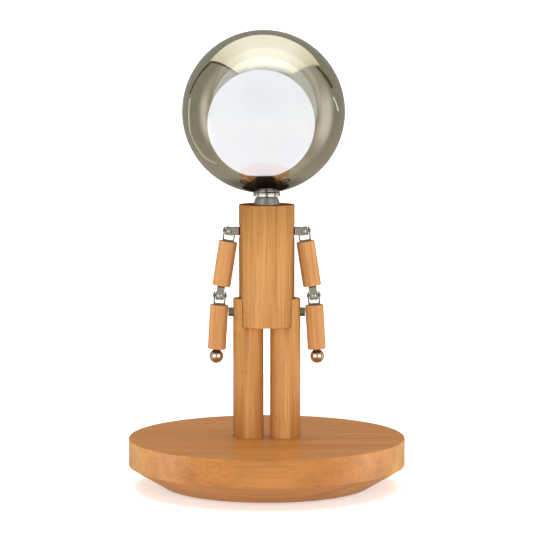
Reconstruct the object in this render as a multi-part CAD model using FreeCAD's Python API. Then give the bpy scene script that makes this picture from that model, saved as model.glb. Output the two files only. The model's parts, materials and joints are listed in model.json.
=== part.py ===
import FreeCAD, Part
import math
import os

# Robot shaped desk lamp, in millimetres.
# Origin: middle of the surface that the lamp stands on. +Z is up, the figure faces -Y.
# "left" is at -X and "right" at +X, as seen from the front.

V = FreeCAD.Vector

# Foot
FOOT_D = 212.4              # outer diameter of the wooden disc
FOOT_TOP = 38.5             # height of the disc's top above the table
FOOT_SIDE = 20.7            # height of the straight side
FOOT_INSET = 26.2           # how far the chamfer draws in at the bottom
FOOT_EDGE = 0.8             # rounding of the top edge
RUBBER_H = 2.0              # height of a rubber foot
RUBBER_R = 8.0
RUBBER_TAPER = 0.8
RUBBER_COUNT = 4
RUBBER_PITCH_R = 66.0       # circle that the rubber feet sit on
COVER_R = 50.0              # closing plate under the foot
COVER_T = 3.0
COVER_GAP = 0.3             # play of the plate in its recess
COVER_SCREWS = 4
COVER_SCREW_IN = 3.5        # screws in from the plate's edge
COVER_SCREW_HEAD_R = 2.9
COVER_SCREW_R = 1.4
COVER_SCREW_L = 12.0
CAVITY_R = 43.0             # hollow behind the plate
CAVITY_H = 21.5
LEG_SOCKET = 8.0            # how deep the legs sit in the foot
GLUE_GAP = 0.05             # radial play of a glued joint
SLOT_W = 0.5                # slot in the head of a wood screw
SLOT_DEPTH = 0.4

# Gland at the back of the foot
GLAND_Z = 24.2              # height of the gland's axis
GLAND_HEAD_R = 5.8
GLAND_HEAD_T = 2.5
GLAND_BODY_R = 4.4
GLAND_LENGTH = 14.0
GLAND_BORE_R = 3.1          # takes a round supply lead of about 6 mm
GLAND_HEAD_PLAY = 0.3
GLAND_END_PLAY = 0.3
GLAND_EDGE = 1.2            # width of the head's chamfer
GLAND_EDGE_H = 0.8
CHANNEL_R = 3.4             # channel from the gland to the hollow

# Terminal block in the hollow
TERMINAL_Y = 29.0           # behind the middle
TERMINAL_W = 16.0
TERMINAL_DEPTH = 12.0
TERMINAL_H = 11.0
TERMINAL_PITCH = 8.0        # between the two poles
TERMINAL_ENTRY_R = 1.6
TERMINAL_SCREW_R = 1.9

# Legs
LEG_D = 23.3
LEG_SPACING = 28.3          # between the two axes
SEAT_Z = 124.4              # the torso's underside rests here
LAP = 21.3                  # height of the half lap
LAP_GAP = 0.25              # play between the flat and the leg's tongue
LEG_SCREW_HEAD_R = 4.6
LEG_SCREW_R = 2.3
LEG_SCREW_L = 34.0
LEAD_BORE_R = 2.5
LEAD_BORE_X = 11.5          # bore of the leg that carries the lead
LEAD_BORE_Y = 7.2

# Torso
TORSO_D = 42.5
TORSO_H = 93.2
TORSO_FLATS = 36.3          # across the flats of the lap
HOLDER_BORE_DEPTH = 46.0
LEAD_TOP_X = 4.0            # where the slanting lead bore meets the holder's bore
LEAD_TOP_Y = 3.0
WOOD_EDGE = 0.4             # broken edge of the dowels

# Hip screws
HIP_SHANK_R = 2.0
HIP_SHANK = 14.0
HIP_HEAD_R = 3.5
HIP_HEAD_H = 4.2
HIP_HEX = 3.0               # across the flats of the key socket
HIP_HEX_DEPTH = 2.0
HIP_EDGE = 0.3
HIP_PLAY = 0.1
HIP_SPOT = 0.6              # depth of the spot face in the leg
HIP_SPOT_PLAY = 0.2
INSERT_R = 3.0
INSERT_L = 7.0

# Neck and lampholder
CONE_H = 5.3
CONE_R_LOW = 10.15
CONE_R_TOP = 8.65
CONE_RIM = 0.5              # straight rim at the bottom
CONE_EDGE = 0.4
CONE_PLAY = 0.25            # between the cone's bore and the thread
HOLDER_R = 9.3
HOLDER_PLAY = 0.2           # radial play of the holder in the torso
HOLDER_H = 30.0             # body below the torso's top
HOLDER_SINK = 0.1           # rim just under the torso's top
HOLDER_EDGE = 1.5
HOLDER_FLOOR = 10.0         # solid part at the bottom of the body
HOLDER_HOLE_R = 1.3         # two lead holes
HOLDER_HOLE_X = 2.6
HOLDER_HOLE_ROOF = 3.0      # left over the lead holes
CONTACT_W = 3.6             # sprung tongue
CONTACT_T = 0.5
CONTACT_BACK = 4.5          # heel of the tongue, behind the axis
CONTACT_FRONT = 3.0
CONTACT_GAP = 0.2           # under the bulb's tip
CAP_R = 6.95                # screw cap of the bulb
CAP_GAP = 0.15              # radial play of the cap in its thread
THREAD_T = 0.4
THREAD_PITCH = 2.82
THREAD_DEPTH = 0.45
THREAD_PLAY = 0.02          # shell in the holder's body
THREAD_TOP_IN = 0.5
THREAD_FOOT = 1.5           # shell above the holder's floor

# Bulb
GLOBE_D = 124.0
GLOBE_WALL = 1.2
GLOBE_RISE = 64.4           # centre of the globe above the collar's underside
GLOBE_LEAN = 2.2            # the globe leans to the left, degrees
BALL_D = 81.8
BALL_WALL = 1.4
BALL_RISE = 55.5            # centre of the opal ball above the collar's underside
BALL_LEAN = 4.6
GLASS_NECK_R = 9.4
GLASS_NECK_IN = 1.6         # how deep the glass stands in the collar's cup
OPAL_NECK_R = 7.4
OPAL_NECK_RISE = 0.6        # above the collar
COLLAR_R = 10.5
COLLAR_H = 4.4
COLLAR_GAP = 0.9            # dark gap between the cone and the collar
COLLAR_BEADS = 3
COLLAR_BEAD_DEPTH = 0.55
CUP_R = 9.9
CUP_DEPTH = 2.2             # hollow in the collar that holds the glass
POST_H = 26.0               # light board above the cup
POST_R = 3.4
POST_FOOT_R = 5.6
POST_FOOT_H = 3.0
POST_TAPER_H = 3.0
BOARD_R = 15.0
BOARD_T = 1.6
CHIPS = 12                  # small lights on the board
CHIP = 2.8                  # side of one
CHIP_T = 0.8
CHIP_IN = 10.2              # from the board's middle
CHIP_SINK = 0.1
CAP_L = 17.5                # threaded length below the collar
CAP_WALL = 0.6
INSULATOR_L = 3.0
TIP_L = 1.4
TIP_R = 2.4
TIP_TAPER = 0.9

# Arms
SHOULDER_SEAT = 7.85        # shoulder pivot from the floor of its round spot face
SHOULDER_Z = 197.1
ELBOW_Z = 147.59            # height of the elbow pivot
FOREARM_TILT = 3.4          # the forearm hangs outwards, degrees
ARM_REST_GAP = 0.1          # the forearm leans on the hip screw's head
ARM_D = 14.0
UPPER_TOP = 7.9             # pivot to the dowel's end
UPPER_LOW = 7.7
FOREARM_TOP = 7.1
FOREARM_L = 34.1
HAND_D = 10.8
HAND_GAP = 0.2
STUD_R = 1.5
STUD_L = 8.0
STUD_END_GAP = 0.1

# Universal joints
STRAP_T = 1.1
STRAP_OPEN = 7.0            # inside width of a yoke
STRAP_PLAY = 1.0            # a strap is this much narrower than the opening that it turns in
STRAP_BEND = 1.5            # outer radius of the bend
BLOCK_PLAY = 0.6            # the square block is this much smaller than the opening
BLOCK_EDGE = 0.7
SPOT_PLAY = 0.3             # round spot face about the corners of the yoke's foot
PIN_R = 1.0
PIN_GAP = 0.05              # running play of a pin in its yoke
PIN_SEAT = 0.01             # play of a pin in the block
PIN_DEPTH = 2.0             # how deep a pin goes into the block
PIN_HEAD_R = 1.7
PIN_HEAD_H = 0.7
PIN_HEAD_TAPER = 0.6
PIN_HEAD_RIM = 0.35
PIN_HEAD_GAP = 0.12
PIN_END_GAP = 0.02
STRAP_SCREW_R = 1.2
STRAP_SCREW_HEAD_R = 2.2
STRAP_SCREW_L = 9.0
SWIVEL_GAP = 0.1            # the shoulder yoke turns on its screw, just clear of the wood

# Lead inside
LEAD_R = 1.8
LEAD_BEND = 12.0            # longest stretch that a bend takes from a run
LEAD_BEND_SHARE = 0.45      # of the shorter run
LEAD_DROP = 9.0             # straight down below the holder
LEAD_END_Y = 23.0           # at the terminal block

# Worked-out places
LEG_R = LEG_D / 2
LEG_X = LEG_SPACING / 2
TORSO_R = TORSO_D / 2
FLAT_X = TORSO_FLATS / 2
HOLDER_BORE_R = HOLDER_R + HOLDER_PLAY
THREAD_R = CAP_R + CAP_GAP
TORSO_TOP = SEAT_Z + TORSO_H
LAP_TOP = SEAT_Z + LAP
HIP_Z = SEAT_Z + LAP / 2
HIP_SEAT_X = LEG_X + LEG_R - HIP_SPOT
HIP_OUT = HIP_SEAT_X + HIP_HEAD_H
HIP_TOP = HIP_Z + HIP_HEAD_R - HIP_EDGE
COVER_TOP = RUBBER_H + COVER_T
CAVITY_TOP = COVER_TOP + CAVITY_H
TERMINAL_ENTRY_Z = COVER_TOP + TERMINAL_H / 2
HOLDER_TOP = TORSO_TOP - HOLDER_SINK
HOLDER_LOW = HOLDER_TOP - HOLDER_H
COLLAR_Z = TORSO_TOP + CONE_H + COLLAR_GAP
COLLAR_TOP = COLLAR_Z + COLLAR_H
CAP_LOW = COLLAR_Z - CAP_L
TIP_TOP = CAP_LOW - INSULATOR_L
POST_LOW = COLLAR_TOP - CUP_DEPTH + POST_FOOT_R * math.sin(math.radians(BALL_LEAN)) + GLUE_GAP
STRAP_W = STRAP_OPEN - STRAP_PLAY
BLOCK = STRAP_OPEN - BLOCK_PLAY
STRAP_OUT = STRAP_OPEN / 2 + STRAP_T
SPOT_R = math.hypot(STRAP_OUT, STRAP_W / 2) + SPOT_PLAY
SPOT_X = math.sqrt(TORSO_R ** 2 - SPOT_R ** 2)
ARM_R = ARM_D / 2
SHOULDER_X = SPOT_X + SHOULDER_SEAT
FOREARM_ANGLE = math.radians(FOREARM_TILT)
REST_X = HIP_OUT + ARM_REST_GAP + ARM_R / math.cos(FOREARM_ANGLE)
ELBOW_X = REST_X - (ELBOW_Z - HIP_TOP) * math.tan(FOREARM_ANGLE)
SHOULDER = V(SHOULDER_X, 0, SHOULDER_Z)
ELBOW = V(ELBOW_X, 0, ELBOW_Z)
ARM_TILT = math.degrees(math.atan2(ELBOW_X - SHOULDER_X, SHOULDER_Z - ELBOW_Z))
ELBOW_DROP = (SHOULDER - ELBOW).Length
UPPER_L = ELBOW_DROP - UPPER_TOP - UPPER_LOW
CENTRE = V(0, 0, 0)
X_AXIS = V(1, 0, 0)
Y_AXIS = V(0, 1, 0)
Z_AXIS = V(0, 0, 1)


def save(name, *solids):
    """Write one node; several solids stay separate in it."""
    shape = solids[0] if len(solids) == 1 else Part.makeCompound(list(solids))
    if not shape.isValid():
        print("not valid:", name)
    shape.exportStep("parts/" + name + ".step")
    print(name, len(shape.Solids), round(shape.Volume, 1))


def rod(radius, z_low, z_high, x=0.0, y=0.0):
    """Upright cylinder between two heights."""
    return Part.makeCylinder(radius, z_high - z_low, V(x, y, z_low))


def block(x0, x1, y0, y1, z0, z1):
    return Part.makeBox(x1 - x0, y1 - y0, z1 - z0, V(x0, y0, z0))


def turned(outline):
    """Solid of revolution about Z from (radius, height) points."""
    points = [V(r, 0, z) for r, z in outline]
    wire = Part.makePolygon(points + points[:1])
    return Part.Face(wire).revolve(CENTRE, Z_AXIS, 360)


def spun(shape, centre, axis, degrees):
    """Copy of a shape turned about an axis through a point."""
    copy = shape.copy()
    copy.rotate(centre, axis, degrees)
    return copy


def moved(shape, x=0.0, y=0.0, z=0.0):
    copy = shape.copy()
    copy.translate(V(x, y, z))
    return copy


def mirrored(shape):
    """The same piece for the other side."""
    return shape.mirror(CENTRE, X_AXIS)


def dowel(radius, z_low, z_high):
    """Round wooden rod with its end edges lightly broken."""
    e = WOOD_EDGE
    return turned([(0, z_low), (radius - e, z_low), (radius, z_low + e),
                   (radius, z_high - e), (radius - e, z_high), (0, z_high)])


def countersunk(head_r, shank_r, length):
    """Wood screw with its flat head at z = 0 and its point at -length."""
    cone = head_r - shank_r
    tip = 2 * shank_r
    screw = turned([(0, 0), (head_r, 0), (shank_r, -cone), (shank_r, tip - length), (0, -length)])
    return screw.cut(block(-head_r, head_r, -SLOT_W / 2, SLOT_W / 2, -SLOT_DEPTH, 1))


def countersink(head_r, shank_r, length):
    """Space that the screw above needs, with a little play."""
    play = GLUE_GAP
    cone = head_r - shank_r
    return turned([(0, play), (head_r + play, play), (head_r + play, 0), (shank_r + play, -cone),
                   (shank_r + play, -length - play), (0, -length - play)])


def upside_down(shape):
    return spun(shape, CENTRE, X_AXIS, 180)


def around(shape, count):
    """Copies of a shape, evenly spaced about the lamp's axis."""
    return [spun(shape, CENTRE, Z_AXIS, 180 / count + 360 / count * n) for n in range(count)]


def base_disc():
    """Turned foot with recess, hollow, leg sockets and the channel of the supply lead."""
    r = FOOT_D / 2
    side_low = FOOT_TOP - FOOT_SIDE
    body = turned([(0, RUBBER_H), (r - FOOT_INSET, RUBBER_H), (r, side_low), (r, FOOT_TOP), (0, FOOT_TOP)])
    rim = [e for e in body.Edges if e.BoundBox.ZMin > side_low + 1 and e.BoundBox.XLength > r]
    body = body.makeFillet(FOOT_EDGE, rim)
    recess = rod(COVER_R + COVER_GAP, RUBBER_H - 1, COVER_TOP)
    hollow = rod(CAVITY_R, RUBBER_H, CAVITY_TOP)
    body = body.cut(recess.fuse(hollow))
    for side in (-1, 1):
        body = body.cut(rod(LEG_R + GLUE_GAP, FOOT_TOP - LEG_SOCKET, FOOT_TOP + 1, side * LEG_X))
        body = body.cut(moved(leg_screw_space(), side * LEG_X, 0, CAVITY_TOP))
    body = body.cut(rod(LEAD_BORE_R, CAVITY_TOP - 1, FOOT_TOP, LEAD_BORE_X, LEAD_BORE_Y))
    channel = Part.makeCylinder(CHANNEL_R, r, V(0, CAVITY_R - 3, GLAND_Z), Y_AXIS)
    bore_y = r - gland_seat() - GLAND_LENGTH
    bore = Part.makeCylinder(GLAND_BODY_R + GLUE_GAP, GLAND_LENGTH + 2, V(0, bore_y, GLAND_Z), Y_AXIS)
    spot = Part.makeCylinder(GLAND_HEAD_R + GLAND_HEAD_PLAY, 5, V(0, r - gland_seat(), GLAND_Z), Y_AXIS)
    body = body.cut(channel).cut(bore).cut(spot)
    for space in around(cover_screw_place(countersink), COVER_SCREWS):
        body = body.cut(space)
    return body


def gland_seat():
    """Depth of the flat that the gland's head needs to lie flush in the round side."""
    r = FOOT_D / 2
    head = GLAND_HEAD_R + GLAND_HEAD_PLAY
    return r - math.sqrt(r * r - head * head) + GLAND_HEAD_T


def leg_screw():
    """Screw that comes up through the foot into a leg."""
    return upside_down(countersunk(LEG_SCREW_HEAD_R, LEG_SCREW_R, LEG_SCREW_L))


def leg_screw_space():
    return upside_down(countersink(LEG_SCREW_HEAD_R, LEG_SCREW_R, LEG_SCREW_L))


def rubber_feet():
    """Four small tapered feet."""
    foot = turned([(0, 0), (RUBBER_R - RUBBER_TAPER, 0), (RUBBER_R, RUBBER_H), (0, RUBBER_H)])
    return around(moved(foot, RUBBER_PITCH_R), RUBBER_COUNT)


def cover_screw_place(maker):
    """A screw of the closing plate, or its space, at the plate's edge on the X axis."""
    shape = upside_down(maker(COVER_SCREW_HEAD_R, COVER_SCREW_R, COVER_SCREW_L))
    return moved(shape, COVER_R - COVER_SCREW_IN, 0, RUBBER_H)


def base_cover():
    """Closing plate, flush with the wood, with four countersunk holes."""
    plate = rod(COVER_R, RUBBER_H, COVER_TOP)
    for space in around(cover_screw_place(countersink), COVER_SCREWS):
        plate = plate.cut(space)
    return plate


def cover_screws():
    return around(cover_screw_place(countersunk), COVER_SCREWS)


def cord_gland():
    """Turned bush in the back of the foot, bored for the supply lead."""
    r = FOOT_D / 2
    face = r - gland_seat()
    inner_end = GLAND_END_PLAY - GLAND_LENGTH
    bush = turned([(GLAND_BORE_R, inner_end), (GLAND_BODY_R, inner_end), (GLAND_BODY_R, 0),
                   (GLAND_HEAD_R, 0), (GLAND_HEAD_R, GLAND_HEAD_T - GLAND_EDGE_H),
                   (GLAND_HEAD_R - GLAND_EDGE, GLAND_HEAD_T), (GLAND_BORE_R, GLAND_HEAD_T)])
    bush = spun(bush, CENTRE, X_AXIS, -90)
    return moved(bush, 0, face, GLAND_Z)


def terminal_block():
    """Two-pole block in the hollow, with its entry holes."""
    half_w = TERMINAL_W / 2
    front = TERMINAL_Y - TERMINAL_DEPTH / 2
    back = TERMINAL_Y + TERMINAL_DEPTH / 2
    top = COVER_TOP + TERMINAL_H
    body = block(LEAD_BORE_X - half_w, LEAD_BORE_X + half_w, front, back, COVER_TOP, top)
    for side in (-1, 1):
        x = LEAD_BORE_X + side * TERMINAL_PITCH / 2
        mouth = V(x, front - 1, TERMINAL_ENTRY_Z)
        entry = Part.makeCylinder(TERMINAL_ENTRY_R, TERMINAL_DEPTH + 2, mouth, Y_AXIS)
        body = body.cut(entry).cut(rod(TERMINAL_SCREW_R, TERMINAL_ENTRY_Z, top + 1, x, TERMINAL_Y))
    return body


def leg_right():
    """Dowel with a half lap at the top, a lead bore and the hip screw's holes."""
    body = moved(dowel(LEG_R, FOOT_TOP - LEG_SOCKET, LAP_TOP), LEG_X)
    inner = LEG_X - LEG_R - 1
    body = body.cut(block(inner, FLAT_X + LAP_GAP, -LEG_R - 1, LEG_R + 1, SEAT_Z, LAP_TOP + 1))
    body = body.cut(rod(LEAD_BORE_R, FOOT_TOP - LEG_SOCKET - 1, SEAT_Z + 1, LEAD_BORE_X, LEAD_BORE_Y))
    body = body.cut(moved(leg_screw_space(), LEG_X, 0, CAVITY_TOP))
    outer = LEG_X + LEG_R
    shank = Part.makeCylinder(HIP_SHANK_R + HIP_PLAY, outer, V(FLAT_X - 1, 0, HIP_Z), X_AXIS)
    spot = Part.makeCylinder(HIP_HEAD_R + HIP_SPOT_PLAY, HIP_HEAD_H, V(HIP_SEAT_X, 0, HIP_Z), X_AXIS)
    return body.cut(shank).cut(spot)


def hip_screw_right():
    """Cap screw with a hexagonal key socket; the head stands out of the leg."""
    e = HIP_EDGE
    screw = turned([(0, -HIP_SHANK), (HIP_SHANK_R - e, -HIP_SHANK), (HIP_SHANK_R, e - HIP_SHANK),
                    (HIP_SHANK_R, 0), (HIP_HEAD_R, 0), (HIP_HEAD_R, HIP_HEAD_H - e),
                    (HIP_HEAD_R - e, HIP_HEAD_H), (0, HIP_HEAD_H)])
    corner = V(HIP_HEX / math.sqrt(3), 0, HIP_HEAD_H - HIP_HEX_DEPTH)
    corners = [FreeCAD.Rotation(Z_AXIS, 60 * n).multVec(corner) for n in range(6)]
    key = Part.Face(Part.makePolygon(corners + corners[:1])).extrude(V(0, 0, HIP_HEAD_H))
    screw = spun(screw.cut(key), CENTRE, Y_AXIS, 90)
    return moved(screw, HIP_SEAT_X, 0, HIP_Z)


def hip_insert_right():
    """Threaded bush set in the torso's flat."""
    start = V(FLAT_X - INSERT_L, 0, HIP_Z)
    bush = Part.makeCylinder(INSERT_R, INSERT_L, start, X_AXIS)
    return bush.cut(Part.makeCylinder(HIP_SHANK_R, INSERT_L, start, X_AXIS))


def torso():
    """Thick dowel with two flats, the lampholder's bore and a slanting lead bore."""
    body = moved(dowel(TORSO_R, SEAT_Z, TORSO_TOP))
    bore_floor = TORSO_TOP - HOLDER_BORE_DEPTH
    body = body.cut(rod(HOLDER_BORE_R, bore_floor, TORSO_TOP + 1))
    start = V(LEAD_BORE_X, LEAD_BORE_Y, SEAT_Z)
    run = V(LEAD_TOP_X, LEAD_TOP_Y, bore_floor) - start
    past = 3 * LEAD_BORE_R
    length = run.Length + past
    body = body.cut(Part.makeCylinder(LEAD_BORE_R, length, start - run.normalize() * LEAD_BORE_R, run))
    for side in (-1, 1):
        flat_low = min(side * FLAT_X, side * (TORSO_R + 1))
        flat_high = max(side * FLAT_X, side * (TORSO_R + 1))
        body = body.cut(block(flat_low, flat_high, -TORSO_R, TORSO_R, SEAT_Z - 1, LAP_TOP + LAP_GAP))
        inner = side * (FLAT_X - INSERT_L)
        body = body.cut(Part.makeCylinder(INSERT_R, INSERT_L + 1, V(inner, 0, HIP_Z), V(side, 0, 0)))
        spot = Part.makeCylinder(SPOT_R, TORSO_R, V(side * SPOT_X, 0, SHOULDER_Z), V(side, 0, 0))
        body = body.cut(spot)
        space = spun(strap_screw(countersink), CENTRE, Y_AXIS, side * 90)
        body = body.cut(moved(space, side * (SPOT_X + STRAP_T + SWIVEL_GAP), 0, SHOULDER_Z))
    return body


def neck_cone():
    """Turned metal cone that covers the bore and holds the lampholder's rim."""
    z = TORSO_TOP
    top = z + CONE_H
    bore = THREAD_R + CONE_PLAY
    return turned([(bore, z), (CONE_R_LOW, z), (CONE_R_LOW, z + CONE_RIM), (CONE_R_TOP, top - CONE_EDGE),
                   (CONE_R_TOP - CONE_EDGE, top), (bore, top)])


def holder_body():
    """Moulded body of the lampholder, open at the top, with a rim and two lead holes."""
    low = HOLDER_LOW
    inner = THREAD_R + THREAD_T
    well = low + HOLDER_FLOOR
    body = turned([(0, low), (HOLDER_R - HOLDER_EDGE, low), (HOLDER_R, low + HOLDER_EDGE),
                   (HOLDER_R, HOLDER_TOP), (inner, HOLDER_TOP), (inner, well), (0, well)])
    for side in (-1, 1):
        body = body.cut(rod(HOLDER_HOLE_R, low - 1, well - HOLDER_HOLE_ROOF, side * HOLDER_HOLE_X))
    return body


def beaded(radius, depth, z_low, z_high, count, inner):
    """Turned piece whose outside is a row of rounded beads, as on a rolled thread."""
    pitch = (z_high - z_low) / count
    start = V(inner, 0, z_low)
    last = V(radius - depth, 0, z_low)
    edges = [Part.LineSegment(start, last).toShape()]
    for n in range(count):
        crest = V(radius, 0, z_low + (n + 0.5) * pitch)
        root = V(radius - depth, 0, z_low + (n + 1) * pitch)
        edges.append(Part.Arc(last, crest, root).toShape())
        last = root
    top = V(inner, 0, z_high)
    edges.append(Part.LineSegment(last, top).toShape())
    edges.append(Part.LineSegment(top, start).toShape())
    return Part.Face(Part.Wire(edges)).revolve(CENTRE, Z_AXIS, 360)


def holder_thread():
    """Metal shell that the bulb screws into."""
    low = HOLDER_LOW + HOLDER_FLOOR + THREAD_FOOT
    outer = THREAD_R + THREAD_T - THREAD_PLAY
    return rod(outer, low, TORSO_TOP - THREAD_TOP_IN).cut(rod(THREAD_R, low - 1, TORSO_TOP))


def holder_contact():
    """Sprung tongue at the bottom of the lampholder, just under the bulb's tip."""
    floor = HOLDER_LOW + HOLDER_FLOOR
    top = TIP_TOP - TIP_L - CONTACT_GAP
    heel = 2 * CONTACT_T - CONTACT_BACK
    outline = [(-CONTACT_BACK, floor), (CONTACT_FRONT, floor), (CONTACT_FRONT, floor + CONTACT_T),
               (heel, floor + CONTACT_T), (heel, floor + 1.5 * CONTACT_T), (TIP_R, top),
               (0, top), (-CONTACT_BACK, floor + 2 * CONTACT_T)]
    profile = [V(x, -CONTACT_W / 2, z) for x, z in outline]
    return Part.Face(Part.makePolygon(profile + profile[:1])).extrude(V(0, CONTACT_W, 0))


def leaned(shape, degrees):
    """Lean a piece of the bulb to the left about the middle of its collar."""
    return spun(shape, V(0, 0, COLLAR_Z + COLLAR_H / 2), Y_AXIS, -degrees)


def hollow_ball(radius, wall, centre_z, mouth_r, neck_low):
    """Blown glass ball with a short neck that stands in the collar."""
    centre = V(0, 0, centre_z)
    outer = Part.makeSphere(radius, centre).fuse(rod(mouth_r, neck_low, centre_z))
    inner = Part.makeSphere(radius - wall, centre).fuse(rod(mouth_r - wall, neck_low - 1, centre_z))
    return outer.cut(inner)


def bulb_outer_globe():
    centre_z = COLLAR_Z + GLOBE_RISE
    shell = hollow_ball(GLOBE_D / 2, GLOBE_WALL, centre_z, GLASS_NECK_R, COLLAR_TOP - GLASS_NECK_IN)
    return leaned(shell, GLOBE_LEAN)


def bulb_inner_globe():
    centre_z = COLLAR_Z + BALL_RISE
    shell = hollow_ball(BALL_D / 2, BALL_WALL, centre_z, OPAL_NECK_R, COLLAR_TOP + OPAL_NECK_RISE)
    return leaned(shell, BALL_LEAN)


def bulb_collar():
    """Rolled collar with beads outside and a cup for the glass inside."""
    body = beaded(COLLAR_R, COLLAR_BEAD_DEPTH, COLLAR_Z, COLLAR_TOP, COLLAR_BEADS, 0)
    cup = rod(CUP_R, COLLAR_TOP - CUP_DEPTH, COLLAR_TOP + 1)
    globe = Part.makeSphere(GLOBE_D / 2 + GLUE_GAP, V(0, 0, COLLAR_Z + GLOBE_RISE))
    return body.cut(cup).cut(leaned(globe, GLOBE_LEAN))


def bulb_cap():
    """Screw cap: the rolled thread below the collar."""
    turns = int(CAP_L / THREAD_PITCH)
    return beaded(CAP_R, THREAD_DEPTH, CAP_LOW, COLLAR_Z, turns, CAP_R - THREAD_DEPTH - CAP_WALL)


def bulb_insulator():
    return turned([(0, TIP_TOP), (TIP_R + CAP_WALL, TIP_TOP), (CAP_R - THREAD_DEPTH, CAP_LOW), (0, CAP_LOW)])


def bulb_tip():
    low = TIP_TOP - TIP_L
    return turned([(0, low), (TIP_R - TIP_TAPER, low), (TIP_R, TIP_TOP), (0, TIP_TOP)])


def led_post():
    """Post that carries the light board up into the opal ball."""
    z = POST_LOW
    shoulder = z + POST_FOOT_H
    return turned([(0, z), (POST_FOOT_R, z), (POST_FOOT_R, shoulder), (POST_R, shoulder + POST_TAPER_H),
                   (POST_R, z + POST_H), (0, z + POST_H)])


def led_board():
    """Round board with a ring of small lights."""
    z = POST_LOW + POST_H
    top = z + BOARD_T
    board = rod(BOARD_R, z, top)
    chip = block(CHIP_IN, CHIP_IN + CHIP, -CHIP / 2, CHIP / 2, top - CHIP_SINK, top + CHIP_T)
    for copy in around(chip, CHIPS):
        board = board.fuse(copy)
    return board.removeSplitter()


def inner_lead():
    """Lead from the lampholder down the torso and one leg to the terminal block."""
    route = [V(0, 0, HOLDER_LOW), V(0, 0, HOLDER_LOW - LEAD_DROP),
             V(LEAD_TOP_X, LEAD_TOP_Y, TORSO_TOP - HOLDER_BORE_DEPTH), V(LEAD_BORE_X, LEAD_BORE_Y, SEAT_Z),
             V(LEAD_BORE_X, LEAD_BORE_Y, TERMINAL_ENTRY_Z), V(LEAD_BORE_X, LEAD_END_Y, TERMINAL_ENTRY_Z)]
    edges = []
    last = route[0]
    for here, corner, after in zip(route, route[1:], route[2:]):
        before_dir = (corner - here).normalize()
        after_dir = (after - corner).normalize()
        half_turn = before_dir.getAngle(after_dir) / 2
        shorter = min((corner - here).Length, (after - corner).Length)
        trim = min(LEAD_BEND_SHARE * shorter, LEAD_BEND)
        radius = trim / math.tan(half_turn)
        print("lead bend radius", round(radius, 1))
        start = corner - before_dir * trim
        end = corner + after_dir * trim
        to_centre = (after_dir - before_dir).normalize()
        centre = corner + to_centre * math.hypot(radius, trim)
        middle = centre + (corner - centre).normalize() * radius
        edges.append(Part.LineSegment(last, start).toShape())
        edges.append(Part.Arc(start, middle, end).toShape())
        last = end
    edges.append(Part.LineSegment(last, route[-1]).toShape())
    path = Part.Wire(edges)
    section = Part.Wire([Part.Circle(route[0], Z_AXIS, LEAD_R).toShape()])
    lead = path.makePipeShell([section], True, False)
    ideal = math.pi * LEAD_R ** 2 * path.Length
    print("lead volume against section times length", round(lead.Volume / ideal, 3))
    return lead


def yoke(seat):
    """Bent strap: two rounded prongs at x = +/- half the opening, foot at z = -seat."""
    half = STRAP_OUT
    w = STRAP_W / 2
    outer = block(-half, half, -w, w, -seat, w + 1)
    outer = outer.makeFillet(STRAP_BEND, [e for e in outer.Edges if lies_along_y(e, -seat)])
    inner = block(-half + STRAP_T, half - STRAP_T, -w - 1, w + 1, STRAP_T - seat, w + 2)
    inner = inner.makeFillet(STRAP_BEND / 2, [e for e in inner.Edges if lies_along_y(e, STRAP_T - seat)])
    strap = outer.cut(inner)
    tips = Part.makeCylinder(w, 2 * half + 2, V(-half - 1, 0, 0), X_AXIS)
    tips = tips.fuse(block(-half - 1, half + 1, -w, w, -seat - 1, 0))
    strap = strap.common(tips)
    strap = strap.cut(Part.makeCylinder(PIN_R + PIN_GAP, 2 * half + 2, V(-half - 1, 0, 0), X_AXIS))
    return strap.cut(moved(strap_screw(countersink), 0, 0, STRAP_T - seat))


def lies_along_y(edge, height):
    box = edge.BoundBox
    flat = abs(box.ZMin - height) < 0.01 and abs(box.ZMax - height) < 0.01
    return flat and box.XLength < 0.01


def strap_screw(maker):
    """The screw that holds a yoke, or its space."""
    return maker(STRAP_SCREW_HEAD_R, STRAP_SCREW_R, STRAP_SCREW_L)


def yoke_screw(seat):
    return moved(strap_screw(countersunk), 0, 0, STRAP_T - seat)


def cross_block():
    """Square block with four blind pin holes and broken edges."""
    half = BLOCK / 2
    body = block(-half, half, -half, half, -half, half)
    body = body.makeChamfer(BLOCK_EDGE, body.Edges)
    for axis in (X_AXIS, Y_AXIS):
        for way in (-1, 1):
            floor = axis * (way * (half - PIN_DEPTH))
            body = body.cut(Part.makeCylinder(PIN_R + PIN_SEAT, half, floor, axis * way))
    return body


def rivets():
    """Four headed pins, two along X and two along Y."""
    start = BLOCK / 2 - PIN_DEPTH + PIN_END_GAP
    head = STRAP_OUT + PIN_HEAD_GAP
    top = head + PIN_HEAD_H
    pin = turned([(0, start), (PIN_R, start), (PIN_R, head), (PIN_HEAD_R, head),
                  (PIN_HEAD_R, head + PIN_HEAD_RIM), (PIN_HEAD_R - PIN_HEAD_TAPER, top), (0, top)])
    side = spun(pin, CENTRE, Y_AXIS, 90)
    return [spun(side, CENTRE, Z_AXIS, 90 * n) for n in range(4)]


def arm_dowel(top_seat, length, screws_at_both_ends):
    """Arm dowel below a pivot at the origin, bored for the strap screws."""
    low = -top_seat - length
    body = moved(dowel(ARM_R, low, -top_seat))
    space = strap_screw(countersink)
    body = body.cut(moved(space, 0, 0, STRAP_T - top_seat))
    if screws_at_both_ends:
        return body.cut(moved(upside_down(space), 0, 0, low - STRAP_T))
    return body.cut(rod(STUD_R + GLUE_GAP, low - 1, low + STUD_L + STUD_END_GAP))


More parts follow.
